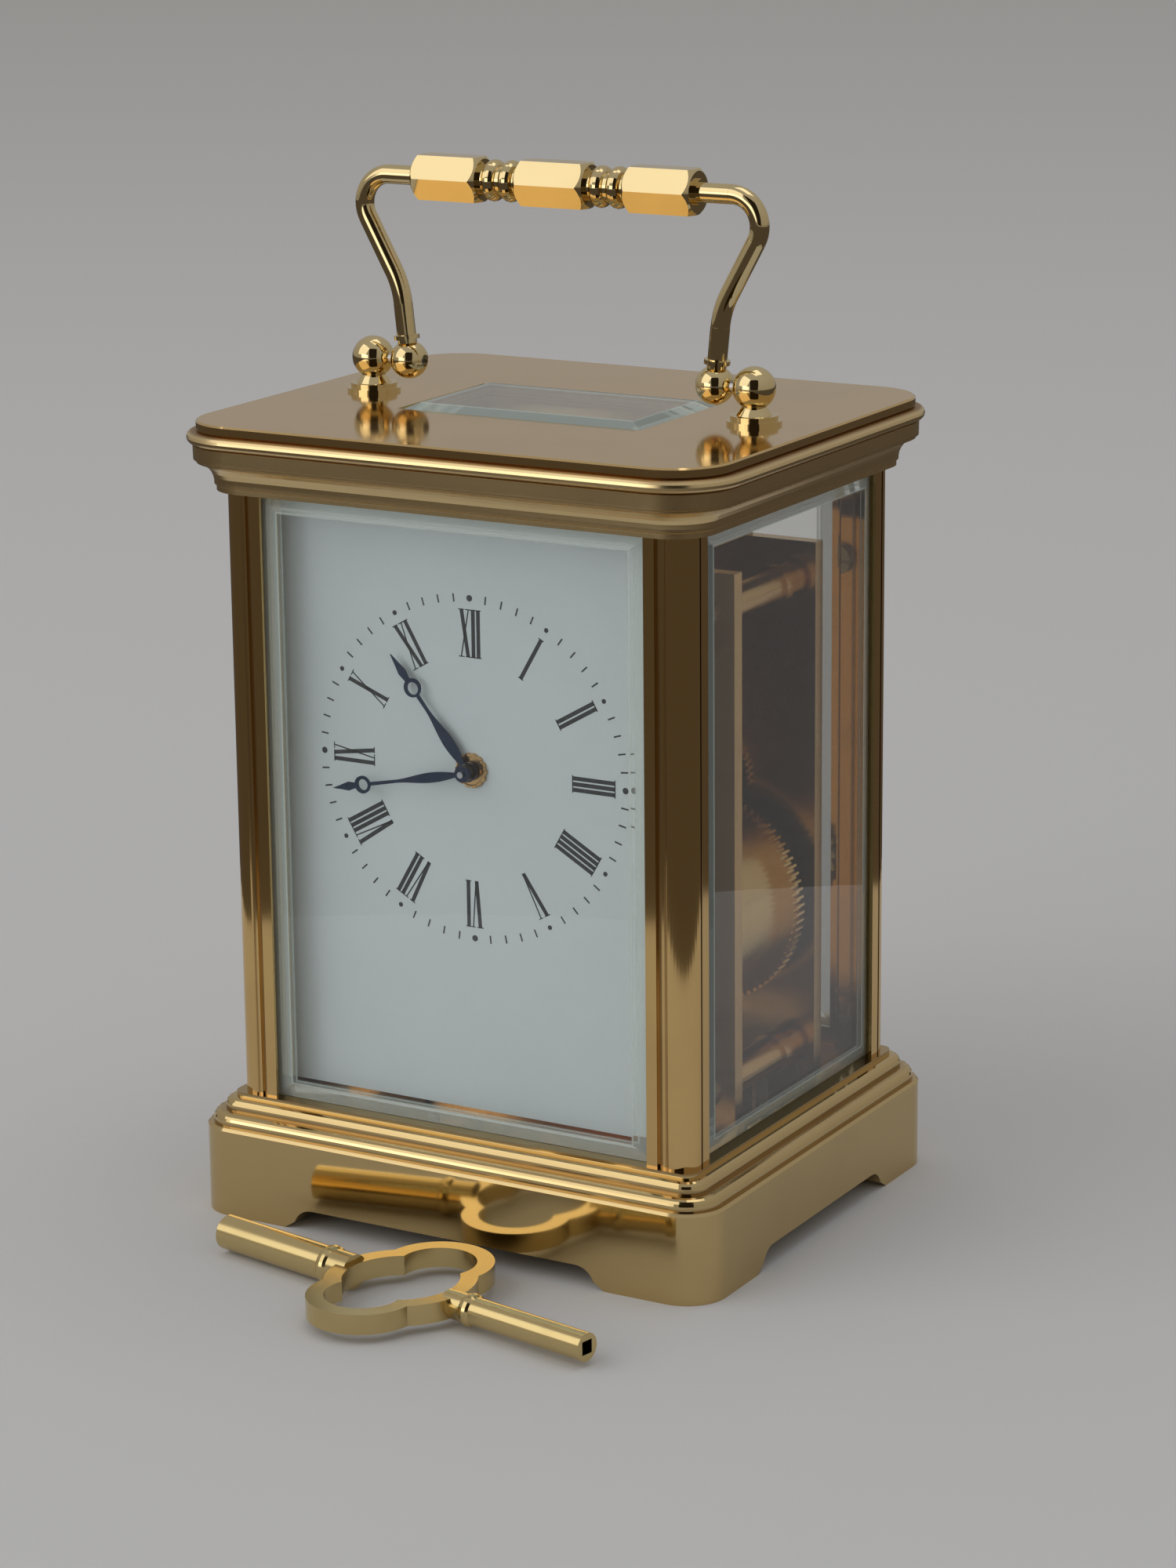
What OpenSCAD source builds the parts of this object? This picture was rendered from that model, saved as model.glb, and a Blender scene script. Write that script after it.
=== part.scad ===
// Brass carriage clock with bevelled glass panels, folding handle, rear door,
// eight-day going train, platform lever escapement and a double-ended key.
// Millimetres. Origin at the centre of the base on the surface it stands on,
// +Z up, dial facing -Y.

/* [Case] */
// Width over the four pillars
case_w = 73.3; // [72:0.1:76]
// Depth over the four pillars
case_d = 60.9; // [60:0.1:64]
// Height of the top plate above the surface
case_h = 114; // [112:0.5:118]
// Height of the moulded base
base_h = 17.2; // [17:0.1:18]
// How far the base stands out past the pillars
base_over = 4.84; // [4.5:0.02:5.2]
// Corner radius of the base
base_corner = 6; // [5.5:0.1:7]
// Wall thickness of the base below its floor
base_wall = 3.5; // [3:0.1:4]
// Height of the arches between the bracket feet
arch_h = 3.1; // [2.5:0.1:4]
// Half length of the front and rear arches
arch_front = 26; // [20:0.5:28]
// Half length of the side arches
arch_side = 20; // [15:0.5:22]
// Height of the cornice, from the pillar tops to the top plate
cornice_h = 8.3; // [8:0.1:9]
// Corner radius of the top plate
top_corner = 8.4; // [8:0.1:9]

/* [Pillars and glass] */
// Pillar width seen from the front
pillar_w = 6.65; // [6.4:0.05:7]
// Pillar width seen from the side
pillar_d = 5.55; // [5.4:0.05:6]
// Radius of the quarter round on each pillar
pillar_round = 3.3; // [3:0.1:3.4]
// Thickness of the glass panels
glass_t = 2; // [1.8:0.1:2.2]
// Width of the visible bevel on the glass panels
bevel_w = 2.4; // [1.5:0.1:3]
// Top glass length
top_glass_w = 38.5; // [36:0.5:40]
// Top glass depth
top_glass_d = 23.1; // [20:0.5:24]

/* [Handle] */
// Distance between the centres of the two posts
post_span = 60.9; // [60.6:0.1:61.6]
// Height of the pivot above the top plate
pivot_rise = 4.8; // [4.7:0.1:5]
// Height of the grip's centre above the pivot
grip_rise = 25.95; // [24:0.05:28]
// Grip size across its flats
grip_flats = 6.2; // [5.8:0.1:6.2]
// Thickness of the handle arms
arm_d = 2.7; // [2.4:0.1:2.8]
// Distance between the centres of the two arm balls
arm_span = 48.9; // [48.2:0.1:48.8]

/* [Dial and hands] */
// Dial width
dial_w = 62; // [60:0.5:62]
// Height of the hand centre above the surface
hand_z = 67.6; // [67:0.1:68]
// Radius of the ring of five-minute dots, which sets the hand lengths
dot_ring = 24; // [22:0.5:26]
// Minute hand, degrees clockwise from twelve
minute_angle = 258; // [0:1:359]
// Hour hand, degrees clockwise from twelve
hour_angle = 321.5; // [0:0.5:359]

/* [Going train] */
// Width of the movement plates
plate_w = 62; // [60:0.5:62]
// Thickness of the movement plates
plate_t = 2.2; // [2:0.1:2.2]
// Teeth of the great wheel on the barrel
great_teeth = 84; // [84:1:86]
// Gear module of the great wheel
great_module = 0.36; // [0.36]
// Barrel centre, across
barrel_x = 16; // [15.8:0.1:16.2]
// Barrel centre, up
barrel_z = 43; // [42.8:0.1:43.2]
// Barrel drum radius
drum_r = 13.2; // [12.5:0.1:13.4]
// Contrate wheel centre, across
contrate_x = -8; // [-8.5:0.1:-7.5]
// Contrate wheel centre, up
contrate_z = 79.5; // [79.5]

/* [Key] */
// Length of the key over both pipes
key_l = 66; // [60:1:70]
// Radius of the bow's middle ring
bow_r = 10.4; // [10:0.1:11]
// Radius of the bow's two side lobes
lobe_r = 7.7; // [7:0.1:8.5]
// Thickness of the bow, as it lies
bow_t = 2.8; // [2.4:0.1:3.4]

/* [Hidden] */

half_w = case_w / 2;
half_d = case_d / 2;
fit = 0.05;                     // gap left where two fixed pieces meet
run = 0.04;                     // radial clearance of a shaft in its hole

// Case heights
floor_z = 15;
floor_t = 3;
pillar_top = case_h - cornice_h - 1.5;
plate_z = case_h - 1.5;
web_z = pillar_top + 5.8;

// Glass planes, measured from the outer faces of the pillars
front_set = 0.45;
groove_d = 1.1;
open_x = half_w - pillar_w;     // half width of the front opening
open_y = half_d - pillar_d;     // half depth of the side openings

// Screw positions in the pillars
screw_x = half_w - 4;
screw_y = half_d - 3.1;
screw_r = 1.1;
head_r = 2;

// Handle
post_x = post_span / 2;
ball_x = arm_span / 2;
pivot_z = case_h + pivot_rise;
post_ball_r = 2.98;
arm_ball_r = 2.7;
pin_r = 0.8;
grip_half = 22;
arm_r = arm_d / 2;
lean = 6;                       // outward lean of the lower arm, degrees
flare = 29;                     // outward lean of the upper arm, degrees
lower_l = 8;
bend_r = 12;
upper_l = 8.3;
lower_end = [ball_x + lower_l * sin(lean), lower_l * cos(lean)];
bend_c = lower_end + bend_r * [cos(lean), -sin(lean)];
upper_start = bend_c - bend_r * [cos(flare), -sin(flare)];
upper_end = upper_start + upper_l * [sin(flare), cos(flare)];
top_r = (grip_rise - upper_end[1]) / (1 + sin(flare));
top_c = upper_end + top_r * [-cos(flare), sin(flare)];

// Rear door
door_t = 3;
door_axis_x = open_x - 1.7;
door_axis_y = half_d - 1.65;
door_low = base_h + 0.3;
door_high = pillar_top - 0.3;
stile = 3.4;
door_pin_r = 0.7;
door_pin_l = 1.7;

// Dial and hands, from back to front
dial_back = -23;
dial_front = -24;
dial_low = 18.7;
dial_high = pillar_top - 0.8;
hand_t = 0.25;
hour_hand_y = -25.3;
minute_hand_y = -26.7;

// Movement plates
front_plate_y = -9.2;
front_in = front_plate_y + plate_t;
rear_in = 15;
rear_plate_y = rear_in + plate_t;
plate_top = 95;
arbor_r = 0.9;
pivot_r = 0.5;
pillar_x = 26;
pillar_low = 20.5;
pillar_high = 89;

// Wheel train: module, teeth and places
tooth_angle = 20;               // pressure angle
wheel_add = 0.6;
wheel_ded = 1.15;
leaf_add = 0.9;
leaf_ded = 0.85;
inter_leaves = 12;
inter_teeth = 72;
inter_module = 0.3;
centre_leaves = 12;
centre_teeth = 80;
centre_module = 0.27;
third_leaves = 10;
third_teeth = 75;
third_module = 0.24;
contrate_leaves = 10;
contrate_teeth = 70;
contrate_r = 8;
escape_leaves = 7;
cannon_leaves = 12;
minute_teeth = 36;
cannon_module = 0.25;
minute_leaves = 10;
hour_teeth = 40;
hour_module = 0.24;

barrel_c = [barrel_x, barrel_z];
centre_c = [0, hand_z];
contrate_c = [contrate_x, contrate_z];
inter_c = apex(barrel_c, centre_c, great_module * (great_teeth + inter_leaves) / 2,
    inter_module * (inter_teeth + centre_leaves) / 2, -1);
third_c = apex(centre_c, contrate_c, centre_module * (centre_teeth + third_leaves) / 2,
    third_module * (third_teeth + contrate_leaves) / 2, 1);
motion_gap = cannon_module * (cannon_leaves + minute_teeth) / 2;
minute_c = centre_c + motion_gap * [-cos(45), -sin(45)];

// Great wheel, drum and ratchet, along Y
drum_front = -5;
drum_back = 9;
great_back = 11.2;
arbor_core_r = 4;
barrel_arbor_r = 2;
wind_square = 2.6;
set_square = 1.8;
ratchet_y = rear_plate_y + 0.3;
ratchet_t = 1.2;
ratchet_r = 8;
ratchet_teeth = 24;
click_c = barrel_c + [-8.6, 9.6];

// Contrate mesh with the escape pinion
contrate_disc = 7.9;
contrate_tooth = 0.6;
escape_r = contrate_r * escape_leaves / contrate_teeth;
escape_x = contrate_x;
escape_y = contrate_disc - 0.35 - escape_r;

// Platform
platform_z = plate_top;
platform_t = 1.4;
platform_top = platform_z + platform_t;
line_angle = -25;               // from escape wheel to lever to balance
line_dir = [cos(line_angle), sin(line_angle)];
lever_c = [escape_x, escape_y] + 5.6 * line_dir;
balance_c = lever_c + 7.5 * line_dir;
escape_wheel_z = platform_top + 0.8;
escape_wheel_r = 4;
balance_z = platform_top + 2.9;
balance_r = 6.2;
cock_z = balance_z + 3.2;

// Key
key_turn = -11;
key_c = [4.6, -52.9];
bow_wall = 2.4;
pipe_big_r = 2.45;
pipe_small_r = 1.95;
collar = 0.35;

// Third corner of a triangle on a and b with sides ra and rb; side picks which
function apex(a, b, ra, rb, side) =
    let (d = norm(b - a), u = (b - a) / d, along = (ra * ra - rb * rb + d * d) / (2 * d),
        off = sqrt(ra * ra - along * along))
    a + along * u + side * off * [-u[1], u[0]];

// Direction from a to b in degrees
function heading(a, b) = atan2(b[1] - a[1], b[0] - a[0]);

// Points on an arc about c
function arc(c, r, from, to, steps) =
    [for (i = [0 : steps]) let (a = from + (to - from) * i / steps) c + r * [cos(a), sin(a)]];

// Involute function in degrees, and the half width of a tooth at radius r
function inv(a) = tan(a) * 180 / PI - a;
function half_tooth(n, m, r) =
    let (rp = n * m / 2, rb = rp * cos(tooth_angle), slack = 0.06 * m / rp * 180 / PI)
    90 / n - slack + inv(tooth_angle) - (r > rb ? inv(acos(rb / r)) : 0);

// Outline of an involute gear with a tooth centred on the given direction
function gear_points(n, m, add, ded, dir) =
    let (rp = n * m / 2, rb = rp * cos(tooth_angle), root = rp - ded * m, tip = rp + add * m,
        radii = root < rb ? [root, rb, rp, tip] : [root, rp, tip], last = len(radii) - 1)
    [for (k = [0 : n - 1], s = [-1, 1], i = [0 : last])
        let (r = s < 0 ? radii[i] : radii[last - i], a = dir + k * 360 / n + s * half_tooth(n, m, r))
        r * [cos(a), sin(a)]];

// A flat shape given across and up, set upright between two depths
module upright(from, to) {
    translate([0, to, 0]) rotate([90, 0, 0]) linear_extrude(to - from) children();
}

// A rod along Y between two depths
module rod(c, r, from, to, fn = 48) {
    upright(from, to) translate(c) circle(r, $fn = fn);
}

// A toothed disc between two depths
module gear(c, n, m, add, ded, dir, from, to) {
    upright(from, to) translate(c) polygon(gear_points(n, m, add, ded, dir));
}

module wheel_rim(c, n, m, dir, from, to, hub) {
    difference() {
        gear(c, n, m, wheel_add, wheel_ded, dir, from, to);
        upright(from - 1, to + 1) translate(c) spoke_gaps(n * m / 2 - wheel_ded * m - 1, hub);
    }
}

// The open spaces between four spokes
module spoke_gaps(outer, hub, spokes = 4, width = 1.1) {
    difference() {
        circle(outer, $fn = 72);
        circle(hub, $fn = 36);
        for (k = [0 : spokes - 1]) rotate(k * 360 / spokes) translate([0, -width / 2])
            square([outer + 1, width]);
    }
}

// A solid slab with a moulded edge around a plan with round corners.
// The profile's points are [distance out from the corner centres, height], going up.
module moulded(cx, cy, profile) {
    low = profile[0][1];
    high = profile[len(profile) - 1][1];
    corner = concat([[0, low]], profile, [[0, high]]);
    side = concat([[-2, low]], profile, [[-2, high]]);
    turns = [[1, 1, 0], [-1, 1, 90], [-1, -1, 180], [1, -1, 270]];
    for (t = turns) translate([t[0] * cx, t[1] * cy, 0]) rotate(t[2])
        rotate_extrude(angle = 90, $fn = 96) polygon(corner);
    for (s = [0, 1]) {
        mirror([0, s, 0]) translate([0, cy, 0]) rotate([90, 0, 90])
            linear_extrude(2 * cx, center = true) polygon(side);
        mirror([s, 0, 0]) translate([cx, 0, 0]) rotate([90, 0, 0])
            linear_extrude(2 * cy, center = true) polygon(side);
    }
    translate([-cx, -cy, low]) cube([2 * cx, 2 * cy, high - low]);
}

// A plain slab with upright sides and round corners
module slab(hx, hy, r, low, high) {
    moulded(hx - r, hy - r, [[r, low], [r, high]]);
}

module at_corners(x, y) {
    for (sx = [-1, 1], sy = [-1, 1]) translate([sx * x, sy * y, 0]) children();
}

module at_movement_screws() {
    for (s = [-1, 1], y = [0, 8]) translate([s * pillar_x, y, 0]) children();
}

module box(low, high) {
    translate(low) cube(high - low);
}

// The well inside the pillars, cut so that each pillar keeps a full seat
module well(low, high) {
    inset = half_w - 33;
    box([-half_w + inset, -open_y, low], [half_w - inset, open_y, high]);
    box([-open_x, -half_d + inset, low], [open_x, half_d - inset, high]);
}

// A slotted cheese-head screw pointing down from its head
module screw(shank_r, shank_l, cap_r, cap_t) {
    difference() {
        union() {
            translate([0, 0, -shank_l]) cylinder(shank_l, r = shank_r, $fn = 32);
            cylinder(cap_t, r = cap_r, $fn = 40);
        }
        translate([-cap_r - 1, -0.25, cap_t * 0.45]) cube([2 * cap_r + 2, 0.5, cap_t]);
    }
}

module base() {
    color("goldenrod") difference() {
        base_body();
        slab(half_w + base_over - base_wall, half_d + base_over - base_wall, base_corner - base_wall,
            -1, floor_z - floor_t);
        well(floor_z, base_h + 1);
        arch_cut(arch_front, 2 * half_d + 30, 0);
        arch_cut(arch_side, 2 * half_w + 30, 90);
        at_corners(screw_x, screw_y) cylinder(base_h + 1, r = screw_r + fit, $fn = 32);
        at_movement_screws() cylinder(base_h + 1, r = screw_r + fit, $fn = 32);
        translate([door_axis_x, door_axis_y, base_h - 1.8])
            cylinder(3, r = door_pin_r + run, $fn = 32);
    }
}

// Base with its torus, groove and upper bead
module base_body() {
    in = base_corner - base_over;
    profile = concat([[base_corner, 0], [base_corner, 12.6], [base_corner - 0.4, 13],
        [in + 4, 13], [in + 4, 13.4]], arc([in + 2.6, 13.4], 1.4, 15, 90, 5),
        [[in + 2.2, 14.8], [in + 2.2, 15.3]], arc([in + 1, 15.3], 1.2, 15, 90, 4),
        [[in + 0.6, 16.5], [in + 0.6, base_h]]);
    moulded(half_w + base_over - base_corner, half_d + base_over - base_corner, profile);
}

// The arch between two bracket feet, cut right through the base
module arch_cut(half_l, through, turn) {
    end_r = arch_h;
    rotate(turn) rotate([90, 0, 0]) linear_extrude(through, center = true)
        polygon(concat([[-half_l, -1], [-half_l, 0]], arc([-half_l + end_r + 1.5, 0], end_r, 160, 90, 5),
            arc([half_l - end_r - 1.5, 0], end_r, 90, 20, 5), [[half_l, 0], [half_l, -1]]));
}

module base_screws() {
    color("dimgray") at_corners(screw_x, screw_y) translate([0, 0, floor_z - floor_t]) mirror([0, 0, 1])
        screw(screw_r, 11, head_r, 1.6);
}

// Pillar outline; u runs in from the side of the case and v in from its front
module pillar_outline(has_panel) {
    r = pillar_round;
    difference() {
        polygon(concat([[pillar_w, 0], [5, 0], [5, 0.5], [4.2, 0.5], [4.2, 0.15], [r + 0.2, 0.15]],
            arc([r, r], r, -90, -180, 12), [[0.35, r], [0.35, r + 0.3], [0, r + 0.3],
            [0, pillar_d], [pillar_w, pillar_d]]));
        translate([front_set - fit / 2, pillar_d - groove_d]) square([glass_t + fit, groove_d + 1]);
        if (has_panel) translate([pillar_w - groove_d, front_set - fit / 2])
            square([groove_d + 1, glass_t + fit]);
    }
}

module pillar(sx, sy) {
    color("darkgoldenrod") difference() {
        mirror([sx > 0 ? 1 : 0, 0, 0]) mirror([0, sy > 0 ? 1 : 0, 0]) translate([-half_w, -half_d, base_h])
            linear_extrude(pillar_top - base_h) pillar_outline(sy < 0);
        for (z = [base_h, pillar_top]) translate([sx * screw_x, sy * screw_y, z])
            cylinder(17, r = screw_r + fit, center = true, $fn = 32);
    }
}

module pillar_front_left() { pillar(-1, -1); }
module pillar_front_right() { pillar(1, -1); }
module pillar_rear_left() { pillar(-1, 1); }
module pillar_rear_right() { pillar(1, 1); }

// Cornice: fillet, cove, flat band and torus, with a web that carries the top glass
module cornice() {
    color("goldenrod") difference() {
        cornice_body();
        well(pillar_top - 1, web_z);
        box([-top_glass_w / 2 + 1.25, -top_glass_d / 2 + 1.25, web_z - 1],
            [top_glass_w / 2 - 1.25, top_glass_d / 2 - 1.25, case_h]);
        at_corners(screw_x, screw_y) {
            cylinder(case_h, r = screw_r + fit, $fn = 32);
            translate([0, 0, plate_z - 1.7]) cylinder(3, r = head_r + fit, $fn = 32);
        }
        at_posts() cylinder(case_h, r = 1.25, $fn = 32);
        translate([door_axis_x, door_axis_y, pillar_top - 1])
            cylinder(2.8, r = door_pin_r + run, $fn = 32);
    }
}

module cornice_body() {
    in = top_corner - 4.4;
    base_z = pillar_top;
    profile = concat([[in + 1.8, base_z], [in + 1.8, base_z + 0.7], [in + 2.1, base_z + 0.9]],
        arc([in + 5, base_z + 1.1], 2.9, 175, 100, 6), [[in + 4.5, base_z + 4.2]],
        [[in + 4.9, base_z + 4.4], [in + 4.95, base_z + 6.4], [in + 4.7, base_z + 6.6]],
        arc([in + 4.9, base_z + 7.45], 0.85, -80, 80, 6), [[in + 4.4, plate_z]]);
    moulded(half_w + 4.4 - top_corner, half_d + 4.4 - top_corner, profile);
}

module at_posts() {
    for (s = [-1, 1]) translate([s * post_x, 0, 0]) children();
}

module cornice_screws() {
    color("dimgray") at_corners(screw_x, screw_y) translate([0, 0, plate_z - 1.7])
        screw(screw_r, 13.5, head_r, 1.5);
}

module top_plate() {
    color("tan") difference() {
        moulded(half_w + 4.4 - top_corner, half_d + 4.4 - top_corner, [[top_corner - 0.25, plate_z],
            [top_corner, plate_z + 0.25], [top_corner, case_h - 0.25], [top_corner - 0.25, case_h]]);
        box([-top_glass_w / 2 - fit, -top_glass_d / 2 - fit, 0], [top_glass_w / 2 + fit,
            top_glass_d / 2 + fit, case_h + 1]);
        at_posts() cylinder(case_h + 1, r = 1.25, $fn = 32);
    }
}

// A glass sheet with its outer face up and a bevel all round that face;
// tucked is how far its two ends reach into the pillars
module bevelled_sheet(x, y, t, tucked = 0) {
    edge = t * 0.5;
    cut = bevel_w + tucked;
    hull() {
        translate([-x / 2, -y / 2, 0]) cube([x, y, edge]);
        translate([-x / 2 + cut, -y / 2 + bevel_w, 0]) cube([x - 2 * cut, y - 2 * bevel_w, t]);
    }
}

module top_glass() {
    color("lightcyan", 0.4) translate([0, 0, plate_z]) bevelled_sheet(top_glass_w, top_glass_d, 2.2);
}

module front_glass() {
    h = pillar_top - base_h - 2 * fit;
    color("lightcyan", 0.4) translate([0, -half_d + front_set + glass_t, base_h + fit + h / 2])
        rotate([90, 0, 0])
        bevelled_sheet(2 * (open_x + groove_d) - 2 * fit, h, glass_t, groove_d);
}

module side_glass(s) {
    h = pillar_top - base_h - 2 * fit;
    color("lightcyan", 0.4) mirror([s < 0 ? 1 : 0, 0, 0])
        translate([half_w - front_set - glass_t, 0, base_h + fit + h / 2]) rotate([90, 0, 90])
        bevelled_sheet(2 * (open_y + groove_d) - 2 * fit, h, glass_t, groove_d);
}

module left_glass() { side_glass(-1); }
module right_glass() { side_glass(1); }

// A handle post: threaded shank, flange, neck and ball, bored for its pivot pin
module post(s) {
    color("gold") difference() {
        translate([s * post_x, 0, 0]) {
            translate([0, 0, web_z - 3]) cylinder(case_h - web_z + 3, r = 1.2, $fn = 40);
            translate([0, 0, case_h]) cylinder(0.5, r = 3.8, $fn = 64);
            translate([0, 0, case_h]) cylinder(1.2, r = 3.3, $fn = 64);
            translate([0, 0, case_h + 1.1]) cylinder(1.2, r1 = 2.6, r2 = 1.75, $fn = 48);
            translate([0, 0, case_h + 1]) cylinder(2.2, r = 1.7, $fn = 48);
            translate([0, 0, pivot_z]) sphere(post_ball_r, $fn = 64);
        }
        translate([s * (post_x - 1), 0, pivot_z]) rotate([0, -90 * s, 0])
            cylinder(5, r = pin_r + 0.01, $fn = 32);
    }
}

module handle_post_left() { post(-1); }
module handle_post_right() { post(1); }

module handle_post_nuts() {
    color("dimgray") at_posts() difference() {
        translate([0, 0, web_z - 2]) cylinder(1.95, r = 2.3, $fn = 6);
        cylinder(case_h, r = 1.22, $fn = 32);
    }
}

module handle_pins() {
    color("dimgray") for (s = [-1, 1]) translate([s * (post_x - 1.05), 0, pivot_z]) rotate([0, -90 * s, 0])
        cylinder(post_x - ball_x + 1, r = pin_r, $fn = 32);
}

// Part of a ring in the upright plane, about c, between two directions
module bend(c, ring_r, from, to) {
    translate([c[0], 0, c[1]]) rotate([90, 0, 0]) rotate(from)
        rotate_extrude(angle = to - from, $fn = 96) translate([ring_r, 0]) circle(arm_r - 0.02, $fn = 32);
}

// A straight length of arm starting at p and leaning out by the given angle
module limb(p, angle, l, r) {
    translate([p[0], 0, p[1]]) rotate([0, angle, 0]) cylinder(l, r = r, $fn = 32);
}

module arm(s) {
    color("gold") translate([0, 0, pivot_z]) mirror([s < 0 ? 1 : 0, 0, 0]) difference() {
        union() {
            translate([ball_x, 0, 0]) sphere(arm_ball_r, $fn = 64);
            limb([ball_x, 0], lean, lower_l, arm_r);
            limb([ball_x, 0] + 2.9 * [sin(lean), cos(lean)], lean, 0.6, arm_r + 0.45);
            bend(bend_c, bend_r, 178.5 - flare, 181.5 - lean);
            limb(upper_start, flare, upper_l, arm_r);
            bend(top_c, top_r, -flare - 4, 94);
            limb([grip_half + 0.01, grip_rise], 90, top_c[0] - grip_half - 0.01, arm_r);
            limb([grip_half + 0.01, grip_rise], 90, 0.5, arm_r + 0.5);
        }
        translate([ball_x - 4, 0, 0]) rotate([0, 90, 0]) cylinder(8, r = pin_r + run, $fn = 32);
    }
}

module handle_arm_left() { arm(-1); }
module handle_arm_right() { arm(1); }

// Grip: three six-sided lengths with chamfered ends and two pairs of beads
module handle_grip() {
    hex_r = grip_flats / 2 / cos(30);
    color("gold") translate([0, 0, pivot_z + grip_rise]) rotate([0, 90, 0]) {
        for (span = [[-grip_half, -11.6], [-5.4, 5.4], [11.6, grip_half]]) translate([0, 0, span[0]])
            chamfered_hex(hex_r, span[1] - span[0]);
        for (z = [-8.5, 8.5]) translate([0, 0, z]) {
            cylinder(6.2, r = 2.1, center = true, $fn = 40);
            for (d = [-1.35, 1.35]) translate([0, 0, d]) bead(2.9, 2.2);
        }
    }
}

module chamfered_hex(r, l) {
    cut = 0.7;
    intersection() {
        rotate(90) cylinder(l, r = r, $fn = 6);
        rotate_extrude($fn = 64)
            polygon([[0, 0], [r - cut, 0], [r + 0.3, 1], [r + 0.3, l - 1], [r - cut, l], [0, l]]);
    }
}

// A ring bead with a round edge
module bead(r, t) {
    rotate_extrude($fn = 64) polygon(concat([[0, -t / 2]],
        arc([r - t / 2, 0], t / 2, -90, 90, 8), [[0, t / 2]]));
}

// Rear door frame, round on its hinge edge
module door_frame() {
    color("goldenrod") difference() {
        union() {
            translate([door_axis_x, door_axis_y, door_low])
                cylinder(door_high - door_low, r = door_t / 2, $fn = 48);
            box([-door_axis_x - 1.5, door_axis_y - door_t / 2, door_low], [door_axis_x,
                door_axis_y + door_t / 2, door_high]);
        }
        door_light(0, door_axis_y - 5, door_axis_y + 5);
        door_light(1, door_axis_y - 5, door_axis_y + 0.65);
        translate([door_axis_x, door_axis_y, 0]) difference() {
            cylinder(case_h, r = door_pin_r + 0.01, $fn = 32);
            translate([0, 0, door_low + 3]) cylinder(door_high - door_low - 6, r = 2, $fn = 32);
        }
        translate([-door_axis_x - 1.5 + stile / 2, 0, case_h / 2]) rotate([-90, 0, 0])
            cylinder(60, r = 0.71, $fn = 32);
    }
}

// The opening in the door, grown outwards by the given amount
module door_light(grow, from, to) {
    box([-door_axis_x - 1.5 + stile - grow, from, door_low + stile - grow],
        [door_axis_x + 1.5 - stile + grow, to, door_high - stile + grow]);
}

module door_glass() {
    w = 2 * (door_axis_x + 1.5 - stile + 1) - 2 * fit;
    h = door_high - door_low - 2 * stile + 2 - 2 * fit;
    color("lightcyan", 0.4) translate([0, door_axis_y - 1.3, (door_low + door_high) / 2])
        rotate([90, 0, 180])
        bevelled_sheet(w, h, 1.9);
}

module door_knob() {
    color("gold") translate([-door_axis_x - 1.5 + stile / 2, door_axis_y + door_t / 2,
        case_h / 2]) rotate([-90, 0, 0]) {
        translate([0, 0, -2.5]) cylinder(2.5, r = 0.7, $fn = 32);
        rotate_extrude($fn = 48)
            polygon(concat([[0, 0], [1.5, 0], [1.5, 0.4], [0.8, 0.7], [0.8, 1.4]],
                arc([0, 2.6], 1.5, -50, 90, 8)));
    }
}

module door_pins() {
    color("dimgray") translate([door_axis_x, door_axis_y, 0]) {
        translate([0, 0, door_low - door_pin_l]) cylinder(door_pin_l + 2.9, r = door_pin_r, $fn = 32);
        translate([0, 0, door_high - 2.9]) cylinder(door_pin_l + 2.9, r = door_pin_r, $fn = 32);
    }
}

module dial() {
    color("lightsteelblue") difference() {
        box([-dial_w / 2, dial_front, dial_low], [dial_w / 2, dial_back, dial_high]);
        rod(centre_c, 1.62, dial_front - 1, dial_back + 1);
    }
}

// Threaded ring that lines the hand hole, with two notches for its spanner
module dial_bush() {
    color("peru") difference() {
        union() {
            rod(centre_c, 1.6, dial_front - 0.5, dial_back + 1);
            rod(centre_c, 2, dial_front - 0.5, dial_front);
            rod(centre_c, 2.4, dial_back, dial_back + 0.9, 6);
        }
        rod(centre_c, 1.28, dial_front - 2, dial_back + 2);
        for (s = [-1, 1]) box([s * 1.8 - 0.3, dial_front - 1, hand_z - 0.35], [s * 1.8 + 0.3,
            dial_front - 0.25, hand_z + 0.35]);
    }
}

module dial_feet() {
    color("goldenrod") for (x = [-22, 22], z = [27, 83]) rod([x, z], 1.5, dial_back, front_plate_y);
}

// Half width of a hand between its hub and its waist: a leaf with a thin neck at each end
function leaf_half(t, leaf_w) = 0.009 + (leaf_w / 2 - 0.009) * pow(sin(180 * pow(t, 0.9)), 1.6);

// Hand outline pointing up from its hub, in fractions of the dot ring:
// leaf, thin stem, eccentric ring and spear
module hand_outline(tip, ring_at, ring_out, waist_at, leaf_w, hub) {
    r = dot_ring;
    steps = 14;
    shoulder = ring_at + ring_out * 0.8;
    widest = ring_at + ring_out + 0.3 * (tip - ring_at - ring_out);
    leaf = [for (i = [0 : steps]) let (t = i / steps) [leaf_half(t, leaf_w), t * waist_at]];
    right = concat(leaf, [[0.011, ring_at]]);
    left = [for (i = [len(right) - 1 : -1 : 0]) [-right[i][0], right[i][1]]];
    difference() {
        union() {
            circle(hub, $fn = 40);
            polygon(r * concat(right, left));
            translate([0, ring_at * r]) circle(ring_out * r, $fn = 40);
            polygon(r * [[-0.014, shoulder], [-0.026, widest], [-0.012, (widest + tip) / 2], [0, tip],
                [0.012, (widest + tip) / 2], [0.026, widest], [0.014, shoulder]]);
        }
        translate([0, ring_at * r - 0.1]) circle((ring_out - 0.019) * r, $fn = 40);
    }
}

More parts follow.
